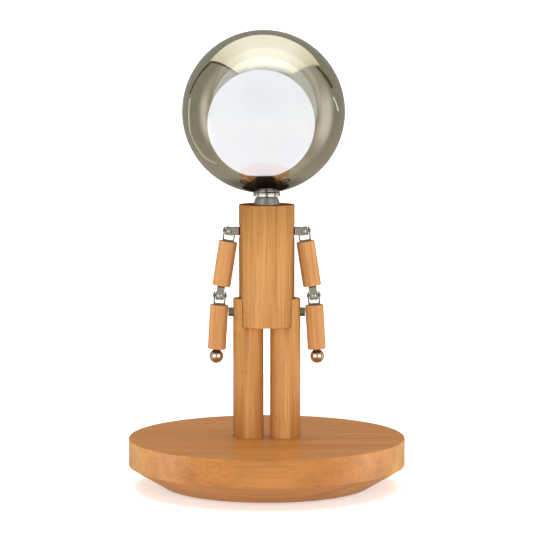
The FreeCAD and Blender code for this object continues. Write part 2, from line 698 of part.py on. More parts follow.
def hand_ball():
    """Polished ball with the stud that holds it in the forearm."""
    low = -FOREARM_TOP - FOREARM_L
    centre = low - HAND_GAP - HAND_D / 2
    ball = Part.makeSphere(HAND_D / 2, V(0, 0, centre))
    return ball.fuse(rod(STUD_R, centre, low + STUD_L)).removeSplitter()


def hung(shape, pivot, tilt):
    """Put a piece made under a pivot at the origin onto its pivot, leaning outwards."""
    return moved(spun(shape, CENTRE, Y_AXIS, -tilt), pivot.x, pivot.y, pivot.z)


def quarter_turned(shape):
    return spun(shape, CENTRE, Z_AXIS, 90)


def at_shoulder(shape):
    """Lay an upright yoke or screw on its side, so that it comes out of the torso."""
    return moved(spun(quarter_turned(shape), CENTRE, Y_AXIS, 90), SHOULDER_X, 0, SHOULDER_Z)


def top(shape):
    return hung(shape, SHOULDER, ARM_TILT)


def fore(shape):
    return hung(shape, ELBOW, FOREARM_TILT)


def arm_pieces():
    """Every piece of the right arm, by node name without its side."""
    seat = SHOULDER_SEAT - SWIVEL_GAP
    low_yoke = moved(upside_down(quarter_turned(yoke(UPPER_LOW))), 0, 0, -ELBOW_DROP)
    low_screw = moved(upside_down(quarter_turned(yoke_screw(UPPER_LOW))), 0, 0, -ELBOW_DROP)
    return {
        "shoulder_yoke": [at_shoulder(yoke(seat))],
        "shoulder_screw": [at_shoulder(yoke_screw(seat))],
        "shoulder_cross": [top(cross_block())],
        "shoulder_rivets": [top(pin) for pin in rivets()],
        "arm_top_yoke": [top(yoke(UPPER_TOP))],
        "upper_arm": [top(arm_dowel(UPPER_TOP, UPPER_L, True))],
        "upper_arm_screws": [top(yoke_screw(UPPER_TOP)), top(low_screw)],
        "arm_low_yoke": [top(low_yoke)],
        "elbow_cross": [fore(cross_block())],
        "elbow_rivets": [fore(pin) for pin in rivets()],
        "forearm_yoke": [fore(yoke(FOREARM_TOP))],
        "forearm_screw": [fore(yoke_screw(FOREARM_TOP))],
        "forearm": [fore(arm_dowel(FOREARM_TOP, FOREARM_L, False))],
        "hand_ball": [fore(hand_ball())],
    }


os.makedirs("parts", exist_ok=True)
save("base_disc", base_disc())
save("rubber_feet", *rubber_feet())
save("base_cover", base_cover())
save("cover_screws", *cover_screws())
save("cord_gland", cord_gland())
save("terminal_block", terminal_block())
save("leg_screws", *[moved(leg_screw(), side * LEG_X, 0, CAVITY_TOP) for side in (-1, 1)])
save("torso", torso())
save("neck_cone", neck_cone())
save("holder_body", holder_body())
save("holder_thread", holder_thread())
save("holder_contact", holder_contact())
save("inner_lead", inner_lead())
save("bulb_outer_globe", bulb_outer_globe())
save("bulb_inner_globe", bulb_inner_globe())
save("bulb_collar", bulb_collar())
save("bulb_cap", bulb_cap())
save("bulb_insulator", bulb_insulator())
save("bulb_tip", bulb_tip())
save("led_post", leaned(led_post(), BALL_LEAN))
save("led_board", leaned(led_board(), BALL_LEAN))
right_only = {"leg": leg_right(), "hip_screw": hip_screw_right(), "hip_insert": hip_insert_right()}
for name, shape in right_only.items():
    save(name + "_right", shape)
    save(name + "_left", mirrored(shape))
for name, solids in arm_pieces().items():
    save(name + "_right", *solids)
    save(name + "_left", *[mirrored(solid) for solid in solids])
print("shoulder pivot", round(SHOULDER_X, 4), SHOULDER_Z, "elbow pivot", round(ELBOW_X, 4), ELBOW_Z)
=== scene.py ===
# %% [markdown]
# A jointed wooden figure lamp.
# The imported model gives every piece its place, in metres, and the bodies that move. This cell loads it as
# a fixed frame. The script adds finishes to the pieces whose shape is already right. It rebuilds the few
# that need a finer surface, such as the blown glass and the rolled collar.

# %% Load the frame
import json
import math

import bmesh
import bpy
from mathutils import Matrix, Vector


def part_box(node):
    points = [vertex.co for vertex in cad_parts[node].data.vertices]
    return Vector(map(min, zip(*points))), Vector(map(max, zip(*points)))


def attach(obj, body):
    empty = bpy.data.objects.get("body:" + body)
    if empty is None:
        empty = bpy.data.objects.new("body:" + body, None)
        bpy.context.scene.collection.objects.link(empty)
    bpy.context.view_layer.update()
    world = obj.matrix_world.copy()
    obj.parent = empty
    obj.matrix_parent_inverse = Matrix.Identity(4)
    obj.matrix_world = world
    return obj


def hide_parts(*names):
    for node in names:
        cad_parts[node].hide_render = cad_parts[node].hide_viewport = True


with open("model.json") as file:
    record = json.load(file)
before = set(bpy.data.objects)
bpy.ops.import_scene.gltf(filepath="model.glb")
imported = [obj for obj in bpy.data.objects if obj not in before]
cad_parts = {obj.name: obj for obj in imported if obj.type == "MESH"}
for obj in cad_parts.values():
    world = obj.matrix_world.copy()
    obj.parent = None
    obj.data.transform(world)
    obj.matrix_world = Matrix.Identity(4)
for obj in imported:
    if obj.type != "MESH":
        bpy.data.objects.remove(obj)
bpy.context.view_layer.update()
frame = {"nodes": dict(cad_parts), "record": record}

nodes = frame["nodes"]

# %% [markdown]
# Places are read from the frame, so a changed size moves everything with it. The two glass balls lean a
# little to the left, as they do in the photograph, and both lean about the middle of the collar.

# %% Places taken from the frame
MM = 0.001


def middle(node):
    """Centre of a piece's box at rest."""
    low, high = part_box(node)
    return (Vector(low) + Vector(high)) / 2


collar_low, collar_high = (Vector(c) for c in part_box("bulb_collar"))
collar_middle = Vector((0, 0, (collar_low.z + collar_high.z) / 2))
print("collar at", [round(c, 4) for c in collar_middle])

# %% [markdown]
# The camera is a long lens from a little above, fitted to the foot's ellipse and the torso's edges. The
# numbers are its height and distance in metres, its tilt in degrees and its lens in millimetres.

# %% Camera
CAMERA_SIDE = -0.0002
CAMERA_HEIGHT = 0.3441
CAMERA_DISTANCE = 1.8377
CAMERA_TILT = 5.416
LENS = 162.93
SENSOR = 36.0
FARTHEST_SEEN = 50

camera_data = bpy.data.cameras.new("camera")
camera_data.lens = LENS
camera_data.sensor_width = SENSOR
camera_data.clip_end = FARTHEST_SEEN
camera = bpy.data.objects.new("camera", camera_data)
camera.location = (CAMERA_SIDE, -CAMERA_DISTANCE, CAMERA_HEIGHT)
camera.rotation_euler = (math.radians(90 - CAMERA_TILT), 0, 0)
bpy.context.scene.collection.objects.link(camera)
bpy.context.scene.camera = camera
print("camera looks down", CAMERA_TILT, "degrees")

# %% [markdown]
# The light is set up as a photographer does it: one large soft panel overhead, a wide fill above the
# camera for the wood, a small panel on each side for the upright edges, and a low one on each side that
# lights the foot alone. The panels light the lamp but show neither in the picture nor in the globe, whose
# bright cap and lines come from cards made further on.

# %% Lights
def panel(name, place, aim, size_x, size_y, radiance, colour=(1.0, 1.0, 1.0)):
    """Rectangular soft light that faces a point; its strength is given as brightness of its face."""
    data = bpy.data.lights.new(name, "AREA")
    data.shape = "RECTANGLE"
    data.size = size_x
    data.size_y = size_y
    data.energy = radiance * math.pi * size_x * size_y
    data.color = colour
    light = bpy.data.objects.new(name, data)
    light.location = place
    light.rotation_euler = (Vector(aim) - Vector(place)).to_track_quat("-Z", "Y").to_euler()
    light.visible_camera = False
    light.visible_glossy = False
    light.visible_transmission = False
    bpy.context.scene.collection.objects.link(light)
    return light


WARM = (1.0, 0.955, 0.88)
ROOF_WIDTH = 1.12
globe_middle = middle("bulb_outer_globe")
ROOF_FRONT = globe_middle + Vector((0.02, -0.48, 0.785))
ROOF_BACK = globe_middle + Vector((0.02, 0.46, 0.457))
roof_middle = (ROOF_FRONT + ROOF_BACK) / 2
roof_slope = (ROOF_BACK - ROOF_FRONT).normalized()
roof_facing = roof_slope.cross(Vector((1, 0, 0)))
roof_depth = (ROOF_BACK - ROOF_FRONT).length

panel("roof_panel", roof_middle, roof_middle + roof_facing, ROOF_WIDTH, roof_depth, 2.9, WARM)
panel("front_fill", (0, -2.4, 0.70), (0, 0, 0.18), 2.4, 1.5, 2.75)
panel("left_side", (-1.3, -0.1, 0.15), (0, 0, 0.1), 0.5, 0.6, 0.8)
panel("right_side", (1.3, 0.0, 0.15), (0, 0, 0.1), 0.6, 0.6, 1.9)
foot_lights = [panel("left_low", (-0.75, -0.1, 0.05), (-0.05, 0, 0.01), 0.3, 0.2, 10.0),
               panel("right_low", (0.75, -0.1, 0.05), (0.05, 0, 0.01), 0.3, 0.2, 10.0)]
print("lights:", len(bpy.data.lights))

# %% [markdown]
# A mirror globe shows the whole room, so the room is a small node tree on the direction of view. It is
# warm and dim, a little lighter near the floor, with a pale side wall on the left and on the right. The
# side walls fade out ahead, behind, under the roof and towards the floor, which keeps the glass dark
# where it is dark in the photograph.

# %% Room
world = bpy.data.worlds.new("room")
world.use_nodes = True
room = world.node_tree


def room_node(kind, **inputs):
    """Node of the room's tree with its inputs set or linked."""
    node = room.nodes.new("ShaderNode" + kind)
    for name, value in inputs.items():
        key = int(name[1:]) if name.startswith("_") else name.replace("_", " ")
        if isinstance(value, bpy.types.NodeSocket):
            room.links.new(value, node.inputs[key])
        else:
            node.inputs[key].default_value = value
    return node


def room_step(value, start, end, low, high):
    """Smooth change from one level to another over a span of a coordinate."""
    node = room_node("MapRange", Value=value, From_Min=start, From_Max=end, To_Min=low, To_Max=high)
    node.interpolation_type = "SMOOTHSTEP"
    return node.outputs[0]


def room_product(first, second):
    """Product of two levels."""
    node = room_node("Math", _0=first, _1=second)
    node.operation = "MULTIPLY"
    return node.outputs[0]


def room_mix(amount, first, second):
    """Colour between two; Mix keeps its colours on inputs 6 and 7 and its result on output 2."""
    node = room.nodes.new("ShaderNodeMix")
    node.data_type = "RGBA"
    for slot, value in ((0, amount), (6, first), (7, second)):
        if isinstance(value, bpy.types.NodeSocket):
            room.links.new(value, node.inputs[slot])
        else:
            node.inputs[slot].default_value = value
    return node.outputs[2]


ROOM_LOW = (0.44, 0.385, 0.32, 1)
ROOM_HIGH = (0.35, 0.34, 0.285, 1)
SIDE_WALL = (1.20, 1.14, 1.06, 1)
RIGHT_FURTHER_BACK = 0.12
way = room_node("SeparateXYZ", Vector=room_node("TexCoord").outputs["Generated"])
lopsided = room_product(way.outputs["X"], RIGHT_FURTHER_BACK)
depth = room_node("Math", _0=way.outputs["Y"], _1=lopsided)
depth.operation = "SUBTRACT"
not_behind = room_step(depth.outputs[0], 0.14, 0.42, 1.0, 0.0)
not_ahead = room_step(way.outputs["Y"], -0.16, 0.10, 0.12, 1.0)
below_roof = room_step(way.outputs["Z"], 0.05, 0.45, 1.0, 0.30)
above_floor = room_step(way.outputs["Z"], -0.65, -0.25, 0.15, 1.0)
side_walls = room_product(room_product(not_behind, not_ahead), room_product(below_roof, above_floor))
floor_glow = room_step(way.outputs["Z"], -0.4, 0.05, 1.0, 0.0)
dim_room = room_mix(floor_glow, ROOM_HIGH, ROOM_LOW)
room.links.new(room_mix(side_walls, dim_room, SIDE_WALL), room.nodes["Background"].inputs["Color"])
bpy.context.scene.world = world
bpy.context.scene.view_settings.view_transform = "Standard"
print("room nodes:", len(room.nodes))

# %% [markdown]
# A finish is a small node tree. This helper keeps each one short: it makes a node, sets its inputs by
# name and links what is given as a socket, so that a material reads from top to bottom.

# %% Helper for node trees
class Finish:
    """A material under construction, with its shader ready to be fed."""

    def __init__(self, name, **shader_inputs):
        """Start a material and set its plain inputs."""
        self.material = bpy.data.materials.new(name)
        self.material.use_nodes = True
        self.tree = self.material.node_tree
        self.shader = self.tree.nodes["Principled BSDF"]
        self.feed(self.shader, shader_inputs)

    def feed(self, node, inputs):
        """Set or link inputs; a name's underscores stand for spaces."""
        for name, value in inputs.items():
            key = name if isinstance(name, int) else name.replace("_", " ")
            if isinstance(value, bpy.types.NodeSocket):
                self.tree.links.new(value, node.inputs[key])
            else:
                node.inputs[key].default_value = value

    def add(self, kind, settings=None, **inputs):
        """New node; settings are its own properties, the rest are its inputs."""
        node = self.tree.nodes.new("ShaderNode" + kind)
        for name, value in (settings or {}).items():
            setattr(node, name, value)
        self.feed(node, inputs)
        return node

    def place(self, rotation=(0, 0, 0), scale=(1, 1, 1)):
        """Object coordinates, turned and stretched."""
        here = self.add("TexCoord").outputs["Object"]
        return self.add("Mapping", Vector=here, Rotation=rotation, Scale=scale).outputs[0]

    def noise(self, vector, scale, detail=4.0, roughness=0.55, distortion=0.0):
        """Noise value at a place."""
        node = self.add("TexNoise", Vector=vector, Scale=scale, Detail=detail, Roughness=roughness,
                        Distortion=distortion)
        return node.outputs["Fac"]

    def ramp(self, value, *stops):
        """Colour ramp from (position, colour) stops."""
        node = self.add("ValToRGB", Fac=value)
        elements = node.color_ramp.elements
        while len(elements) < len(stops):
            elements.new(0.5)
        for element, (position, colour) in zip(elements, stops):
            element.position = position
            element.color = (*colour, 1)
        return node.outputs["Color"]

    def mix(self, amount, first, second, blend="MIX"):
        """Colour made of two; Mix keeps its colours on inputs 6 and 7 and its result on output 2."""
        node = self.add("Mix", {"data_type": "RGBA", "blend_type": blend})
        for slot, value in ((0, amount), (6, first), (7, second)):
            self.feed(node, {slot: value})
        return node.outputs[2]

    def maths(self, kind, first, second=0.5):
        """One step of arithmetic."""
        node = self.add("Math", {"operation": kind})
        self.feed(node, {0: first, 1: second})
        return node.outputs[0]

    def bump(self, height, strength, distance):
        """Fine relief from a height."""
        return self.add("Bump", Height=height, Strength=strength, Distance=distance).outputs["Normal"]


FULL = (1, 1, 1)

# %% [markdown]
# Beech is pale orange-brown with fine streaks along the trunk, broad soft bands, and short dark flecks.
# The streaks are noise squeezed across the grain and stretched along it. The same tree is used for
# upright dowels, tilted dowels and the lying disc, with the grain turned to suit, so each piece is cut
# from its own stretch of the tree.

# %% Beech
def beech(name, turn, offset, light, dark, end_tone, figure=1.0):
    """Oiled beech whose grain runs along Z before the turn; figure is how strongly the grain shows."""
    wood = Finish(name, Roughness=0.42, Specular_IOR_Level=0.42, Coat_Weight=0.10, Coat_Roughness=0.28)
    coordinates = wood.add("TexCoord")
    along = wood.add("Mapping", Vector=coordinates.outputs["Object"], Rotation=turn,
                     Location=offset).outputs[0]

    def stretched(across, length):
        """Place in the wood, with so many streaks to a metre across the grain and along it."""
        return wood.add("Mapping", Vector=along, Scale=(across, across, length)).outputs[0]

    bands = wood.noise(stretched(70, 5), 1.0, 3.0, 0.5, 0.4)
    streaks = wood.noise(stretched(520, 14), 1.0, 5.0, 0.6, 0.15)
    fine = wood.noise(stretched(1900, 60), 1.0, 3.0, 0.6)
    flecks = wood.noise(stretched(1000, 150), 1.0, 2.0, 0.5)
    colour = wood.ramp(bands, (0.30, dark), (0.68, light))
    streak_tone = wood.ramp(streaks, (0.34, (0.72, 0.63, 0.52)), (0.60, FULL))
    colour = wood.mix(0.70 * figure, colour, streak_tone, "MULTIPLY")
    long_lines = wood.noise(stretched(330, 4), 1.0, 2.0, 0.5, 0.2)
    line_tone = wood.ramp(long_lines, (0.30, (0.58, 0.47, 0.34)), (0.37, FULL))
    colour = wood.mix(0.45 * figure, colour, line_tone, "MULTIPLY")
    fine_tone = wood.ramp(fine, (0.30, (0.86, 0.82, 0.76)), (0.60, FULL))
    colour = wood.mix(0.6, colour, fine_tone, "MULTIPLY")
    fleck_tone = wood.ramp(flecks, (0.265, (0.48, 0.34, 0.22)), (0.325, FULL))
    colour = wood.mix(0.8, colour, fleck_tone, "MULTIPLY")
    # Faces across the grain take the end tone; for the arms it adds painted shade, for the foot a painted
    # sheen.
    facing = wood.add("VectorRotate", {"rotation_type": "EULER_XYZ"},
                      Vector=coordinates.outputs["Normal"], Rotation=turn).outputs[0]
    end = wood.maths("ABSOLUTE", wood.add("SeparateXYZ", Vector=facing).outputs["Z"])
    cut_across = wood.maths("SUBTRACT", wood.maths("MULTIPLY", end, 6.0), 4.6)
    end_mask = wood.add("Clamp", Value=cut_across).outputs[0]
    end_colour = wood.mix(1.0, colour, (*end_tone, 1), "MULTIPLY")
    colour = wood.mix(end_mask, colour, end_colour)
    wood.feed(wood.shader, {"Base Color": colour})
    wear = wood.ramp(streaks, (0.30, (0.50,) * 3), (0.70, (0.38,) * 3))
    wood.feed(wood.shader, {"Roughness": wear})
    grain = wood.maths("ADD", wood.maths("MULTIPLY", fine, 0.5), streaks)
    wood.feed(wood.shader, {"Normal": wood.bump(grain, 0.25, 0.0002)})
    return wood.material


UPRIGHT = (0, 0, 0)
ALONG_X = (0, math.radians(90), 0)
TORSO_LIGHT = (0.70, 0.355, 0.118)
TORSO_DARK = (0.58, 0.265, 0.075)
FOOT_LIGHT = (0.50, 0.200, 0.042)
FOOT_DARK = (0.38, 0.142, 0.028)
ARM_LIGHT = (0.70, 0.350, 0.130)
ARM_DARK = (0.60, 0.275, 0.095)
TORSO_END = (1.25, 0.84, 0.36)
LEG_END = (0.70, 0.58, 0.40)
# The arms' end tone is end grain, darkened further by painted shade on the dowel tops.
ARM_END_GRAIN_AND_SHADE = (0.42, 0.32, 0.22)
# The foot's end tone is a painted sheen: it lightens and cools the foot's left and right sides.
FOOT_PAINTED_SIDE_SHEEN = (1.20, 1.55, 2.3)
FOOT_FIGURE = 0.55
UPPER_TILT = math.radians(8.8)
FORE_TILT = math.radians(3.4)

woods = {
    "torso": beech("beech_torso", UPRIGHT, (0.31, 0.1, 0), TORSO_LIGHT, TORSO_DARK, TORSO_END),
    "leg_left": beech("beech_leg_left", UPRIGHT, (0.7, 0.4, 0.2), TORSO_LIGHT, TORSO_DARK, LEG_END),
    "leg_right": beech("beech_leg_right", UPRIGHT, (1.3, 0.2, 0.5), TORSO_LIGHT, TORSO_DARK, LEG_END),
    "base_disc": beech("beech_foot", ALONG_X, (0.2, 0.9, 0.1), FOOT_LIGHT, FOOT_DARK, FOOT_PAINTED_SIDE_SHEEN,
                       FOOT_FIGURE),
}
for side, way in (("left", -1), ("right", 1)):
    for part, tilt, shift in (("upper_arm", UPPER_TILT, 2.1), ("forearm", FORE_TILT, 3.1)):
        woods[f"{part}_{side}"] = beech(f"beech_{part}_{side}", (0, way * tilt, 0),
                                        (shift + 0.5 * way, 0, 0), ARM_LIGHT, ARM_DARK, ARM_END_GRAIN_AND_SHADE)
# Painted shade: a dark brown finish for the lap bevels, standing for the shade in the gap beside the legs.
gap_shade_wood = Finish("beech_shaded_edge", Roughness=0.6)
gap_shade_grain = gap_shade_wood.noise(gap_shade_wood.place(scale=(1, 1, 0.1)), 900, 3.0)
gap_shade_tone = gap_shade_wood.ramp(gap_shade_grain, (0.3, (0.16, 0.065, 0.02)), (0.7, (0.24, 0.10, 0.032)))
gap_shade_wood.feed(gap_shade_wood.shader, {"Base Color": gap_shade_tone})
print("wooden pieces:", len(woods))

# %% [markdown]
# Metals differ in how they are worked: nickel straps are bent from polished strip, the cone is satin
# turned, the screws are plated, and brass shows only inside. Each keeps fine scratches or turning marks
# so that its highlights break up as they do on the real thing.

# %% Metals
def polished(name, colour, roughness, scratch_scale, scratch_depth, stretch=(1, 1, 1)):
    """Polished or brushed metal with fine marks."""
    metal = Finish(name, Metallic=1.0)
    marks = metal.noise(metal.place(scale=stretch), scratch_scale, 5.0, 0.7)
    tone = metal.ramp(marks, (0.3, tuple(c * 0.90 for c in colour)), (0.7, colour))
    grey = metal.ramp(marks, (0.3, (roughness * 0.7,) * 3), (0.75, (roughness * 1.5,) * 3))
    metal.feed(metal.shader, {"Base Color": tone, "Roughness": grey,
                              "Normal": metal.bump(marks, scratch_depth, 0.00005)})
    return metal.material


nickel = polished("nickel", (0.62, 0.60, 0.55), 0.10, 900, 0.12)
chrome = polished("chrome", (0.92, 0.89, 0.88), 0.03, 1200, 0.03)
warm_chrome = polished("warm_chrome", (0.66, 0.54, 0.44), 0.05, 1200, 0.05)
# Painted shade: nickel darkened for the hip screws, cross blocks and inner forks that sit between parts.
dark_nickel = polished("dark_nickel", (0.30, 0.29, 0.26), 0.16, 900, 0.15)
satin = polished("satin_steel", (0.42, 0.43, 0.42), 0.30, 500, 0.3, (1, 1, 12))
plated = polished("plated_screw", (0.66, 0.65, 0.62), 0.22, 1500, 0.2)
brass = polished("brass", (0.80, 0.60, 0.27), 0.20, 800, 0.2)
aluminium = polished("aluminium", (0.82, 0.82, 0.83), 0.35, 700, 0.3)

# %% [markdown]
# Moulded plastics and rubber have a faint speckle and a slightly uneven gloss, which keeps large plain
# faces from looking like bare colour.

# %% Plastics and rubber
def moulded(name, colour, roughness, speckle):
    """Moulded plastic or rubber."""
    plastic = Finish(name, Specular_IOR_Level=0.45)
    marks = plastic.noise(plastic.place(), speckle, 4.0, 0.6)
    tone = plastic.ramp(marks, (0.3, tuple(c * 0.82 for c in colour)), (0.7, colour))
    gloss = plastic.ramp(marks, (0.3, (roughness * 0.85,) * 3), (0.7, (roughness * 1.15,) * 3))
    plastic.feed(plastic.shader, {"Base Color": tone, "Roughness": gloss,
                                  "Normal": plastic.bump(marks, 0.2, 0.0001)})
    return plastic.material


black_plastic = moulded("black_plastic", (0.022, 0.022, 0.022), 0.45, 900)
white_plastic = moulded("white_plastic", (0.80, 0.80, 0.78), 0.40, 900)
rubber = moulded("rubber", (0.018, 0.018, 0.018), 0.75, 1400)
lead_jacket = moulded("lead_jacket", (0.62, 0.62, 0.60), 0.5, 1100)
print("plastics ready")

# %% [markdown]
# The globe is blown glass with a smoky, half-mirrored coat. It is a thin wall with two faces: the coat
# tints what shines through and gives part of the mirror, and its tint darkens towards the neck. The opal
# ball inside has a painted glow that stands in for light on its white glass and lights nothing else;
# its neck is painted dark as shade.

# %% Glass
MIRROR_SHARE = 0.34
SMOKE_NEAR_NECK = (0.26, 0.20, 0.16, 1)
NECK_TINT_FROM = collar_low.z + 16.5 * MM
NECK_TINT_FULL_AT = collar_low.z + 9.0 * MM
OPAL_LOW = collar_low.z + 15.8 * MM
OPAL_FADE = 0.8 * MM
OPAL_PAINTED_GLOW = 2.65
NECK_SHADE = (0.03, 0.02, 0.015, 1)
smoke = Finish("smoke_mirror_glass", Roughness=0.0, IOR=1.5, Transmission_Weight=1.0,
               Metallic=MIRROR_SHARE)
film = smoke.noise(smoke.place(), 14, 2.0, 0.5)
smoke_height = smoke.add("SeparateXYZ", Vector=smoke.add("TexCoord").outputs["Object"]).outputs["Z"]
near_neck = smoke.add("MapRange", {"interpolation_type": "SMOOTHSTEP"}, Value=smoke_height,
                      **{"From Min": NECK_TINT_FROM, "From Max": NECK_TINT_FULL_AT})
clear_film = smoke.ramp(film, (0.3, (0.74, 0.71, 0.62)), (0.7, (0.80, 0.775, 0.69)))
# The tint darkens towards the neck.
smoke.feed(smoke.shader, {"Base Color": smoke.mix(near_neck.outputs[0], clear_film, SMOKE_NEAR_NECK)})

opal = Finish("opal_glass", Roughness=0.5, Specular_IOR_Level=0.05)
coordinates = opal.add("TexCoord")
opal_height = opal.add("SeparateXYZ", Vector=coordinates.outputs["Object"]).outputs["Z"]
glass_part = opal.add("MapRange", Value=opal_height)
opal.feed(glass_part, {"From Min": OPAL_LOW, "From Max": OPAL_LOW + OPAL_FADE})
cloud = opal.noise(coordinates.outputs["Object"], 40, 3.0, 0.5)
milk = opal.ramp(cloud, (0.3, (0.38, 0.40, 0.44)), (0.7, (0.41, 0.42, 0.46)))
# Painted glow: the emission stands in for light on the white ball and lights nothing else.
glow = opal.ramp(cloud, (0.3, (0.71, 0.79, 1.0)), (0.7, (0.73, 0.80, 1.0)))
opal.feed(opal.shader, {"Base Color": opal.mix(glass_part.outputs[0], NECK_SHADE, milk),
                        "Emission Color": glow,
                        "Emission Strength": opal.maths("MULTIPLY", glass_part.outputs[0], OPAL_PAINTED_GLOW)})
print("glass ready")

# %% [markdown]
# Turned and blown pieces are made as on a lathe: an outline of radius and height is carried round the
# axis. The outline of a ball comes from its radius, wall and mouth, and its heights start from the packed
# collar.

# %% Lathe
def object_from(name, mesh):
    """Object at the origin from a mesh under construction, which is used up."""
    data = bpy.data.meshes.new(name)
    mesh.to_mesh(data)
    mesh.free()
    piece = bpy.data.objects.new(name, data)
    bpy.context.scene.collection.objects.link(piece)
    return piece


def circle_of_points(mesh, radius, height, turns):
    """Points of a level circle round the axis."""
    return [mesh.verts.new((radius * math.cos(a), radius * math.sin(a), height))
            for a in (2 * math.pi * n / turns for n in range(turns))]


def lathe(name, outline, turns=128, lean=0.0, pivot=Vector((0, 0, 0))):
    """Closed mesh turned from an outline of (radius, height) points, end joined to start, and leant."""
    mesh = bmesh.new()
    rings = []
    for radius, height in outline:
        if radius < 1e-7:
            rings.append([mesh.verts.new((0, 0, height))])
            continue
        rings.append(circle_of_points(mesh, radius, height, turns))
    for low, high in zip(rings, rings[1:] + rings[:1]):
        if len(low) == 1 and len(high) == 1:
            continue
        for n in range(turns):
            m = (n + 1) % turns
            corners = [low[n % len(low)], low[m % len(low)], high[m % len(high)], high[n % len(high)]]
            mesh.faces.new(list(dict.fromkeys(corners)))
    bmesh.ops.recalc_face_normals(mesh, faces=mesh.faces)
    piece = object_from(name, mesh)
    tilt = Matrix.Rotation(-math.radians(lean), 4, "Y")
    piece.data.transform(Matrix.Translation(pivot) @ tilt @ Matrix.Translation(-pivot))
    return piece


def smooth(piece, angle=40):
    """Smooth shading that keeps edges sharper than the angle."""
    piece.data.shade_smooth()
    piece.data.set_sharp_from_angle(angle=math.radians(angle))
    return piece


def stand_in(piece, node, body, material):
    """Put a finer piece in the place of a packed one."""
    if material.name not in piece.data.materials:
        piece.data.materials.append(material)
    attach(piece, body)
    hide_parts(node)
    print(piece.name, len(piece.data.polygons), "faces for", node)
    return piece


# %% [markdown]
# These are the two glass balls. Each outline runs up the outside from the neck, round the top and back
# down the inside, so the wall is closed at the mouth.

# %% Globe and opal ball
GLOBE_LEAN = 2.2
BALL_LEAN = 4.6
GLOBE_R = 62.0 * MM
GLOBE_WALL = 1.2 * MM
GLOBE_MOUTH = 9.4 * MM
GLOBE_RISE = 64.4 * MM
GLOBE_NECK_LOW = 2.8 * MM
BALL_R = 40.9 * MM
BALL_WALL = 1.4 * MM
BALL_MOUTH = 7.4 * MM
BALL_RISE = 55.5 * MM
BALL_NECK_LOW = 5.0 * MM


def blown(radius, wall, mouth, centre, neck_low, steps=96):
    """Outline of a blown ball with a short straight neck."""
    def side(r, m):
        """Half circle from the mouth up to the top."""
        start = -math.acos(m / r)
        angles = [start + (math.pi / 2 - start) * n / steps for n in range(steps + 1)]
        return [(max(r * math.cos(a), 0), centre + r * math.sin(a)) for a in angles]
    outside = side(radius, mouth)
    inside = side(radius - wall, mouth - wall)
    return [(mouth, neck_low)] + outside + inside[::-1] + [(mouth - wall, neck_low)]


collar_z = collar_low.z
globe_outline = blown(GLOBE_R, GLOBE_WALL, GLOBE_MOUTH, collar_z + GLOBE_RISE, collar_z + GLOBE_NECK_LOW)
globe = lathe("bulb_globe_glass", globe_outline, 160, GLOBE_LEAN, collar_middle)
stand_in(smooth(globe), "bulb_outer_globe", "bulb", smoke.material)
ball_outline = blown(BALL_R, BALL_WALL, BALL_MOUTH, collar_z + BALL_RISE, collar_z + BALL_NECK_LOW)
ball = lathe("bulb_opal_ball", ball_outline, 128, BALL_LEAN, collar_middle)
stand_in(smooth(ball), "bulb_inner_globe", "bulb", opal.material)
ball.visible_diffuse = False

# %% [markdown]
# The collar is rolled sheet: three round beads, each a bright ring with a dark groove under it, and a cup
# that holds the glass. Its outline goes up the beads and comes down inside the cup.

# %% Collar
COLLAR_R = 10.5 * MM
GROOVE_R = 9.95 * MM
CUP_FLOOR = 2.2 * MM
CUP_R = 9.8 * MM
BORE_R = 6.5 * MM
BEADS = ((0.0, 1.5), (1.5, 2.25), (2.25, 2.9))    # bottom and top, mm above the collar's underside
BEAD_STEPS = 12
BEAD_FULLNESS = 0.6
beads = []
for low, high in BEADS:
    half_height = (high - low) / 2 * MM
    for n in range(BEAD_STEPS + 1):
        angle = math.pi * (n / BEAD_STEPS - 0.5)
        swell = max(math.cos(angle), 0) ** BEAD_FULLNESS if n not in (0, BEAD_STEPS) else 0
        beads.append((GROOVE_R + (COLLAR_R - GROOVE_R) * swell,
                      collar_z + low * MM + half_height * (1 + math.sin(angle))))
rim_z = beads[-1][1]
floor_z = collar_z + CUP_FLOOR
cup = [(CUP_R, rim_z), (CUP_R, floor_z), (BORE_R, floor_z), (BORE_R, collar_z)]
collar = lathe("rolled_collar", beads + cup, 128)
stand_in(smooth(collar, 50), "bulb_collar", "bulb", chrome)

# %% [markdown]
# Pieces that stand in a ring are placed by one small tree of Geometry Nodes. It takes a piece and puts
# copies of it on the points of a circle, each turned to face outwards; the result is kept as a plain
# mesh.

